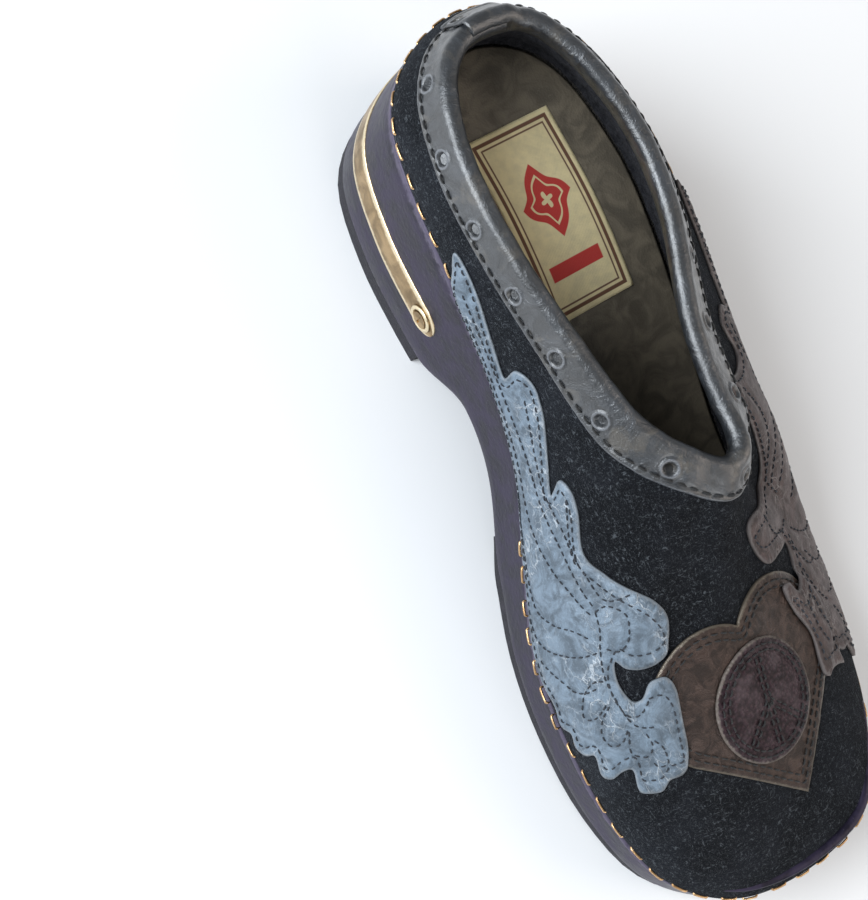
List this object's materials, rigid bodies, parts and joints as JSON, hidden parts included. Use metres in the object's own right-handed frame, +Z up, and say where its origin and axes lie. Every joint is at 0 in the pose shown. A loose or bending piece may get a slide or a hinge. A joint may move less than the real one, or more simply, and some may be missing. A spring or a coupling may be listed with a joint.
{
  "type": "wooden clog",
  "caption": "Slip-on clog for the left foot with a black wooden heeled sole, stapled suede upper, punched leather collar, winged heart applique and a brass heel band.",
  "frame": {"origin": "on the ground, under the middle of the clog's length and width", "axes": "+Z up, +Y towards the heel, -X towards the inner side of the left foot"},
  "size_m": [0.1045, 0.2728, 0.083],
  "materials": {
    "lacquered_wood": "black satin lacquer",
    "tread_rubber": "matt, fine texture",
    "nail_steel": "worn",
    "band_brass": "brushed, slightly tarnished",
    "eyelet_brass": "polished edges",
    "staple_brass": "polished",
    "suede": "napped suede",
    "stiffener": "pressed fibre",
    "fleece": "short pile fleece",
    "collar_leather": "glossy, wrinkled",
    "black_thread": "waxed thread",
    "wing_leather": "distressed, cracked",
    "wing_thread": "thread",
    "heart_leather": "metallic pewter",
    "medallion_leather": "pebbled metallic",
    "foam": "foam",
    "footbed_leather": "brushed",
    "label_cloth": "woven"
  },
  "bodies": {
    "root": {"sole": "lacquered_wood", "outsole_front": "tread_rubber", "heel_lift": "tread_rubber", "heel_lift_nails": "nail_steel", "brass_band": "band_brass", "band_eyelets": "eyelet_brass", "band_rivets": "eyelet_brass", "suede_upper": "suede", "toe_puff": "stiffener", "heel_counter": "stiffener", "fleece_lining": "fleece", "collar": "collar_leather", "collar_stitching": "black_thread", "staples": "staple_brass", "wing_lateral": "wing_leather", "wing_lateral_stitching": "wing_thread", "wing_medial": "wing_leather", "wing_medial_stitching": "wing_thread", "heart_patch": "heart_leather", "heart_stitching": "black_thread", "medallion": "medallion_leather", "medallion_stitching": "black_thread", "footbed_foam": "foam", "footbed_cover": "footbed_leather", "footbed_label": "label_cloth"}
  },
  "joints": []
}
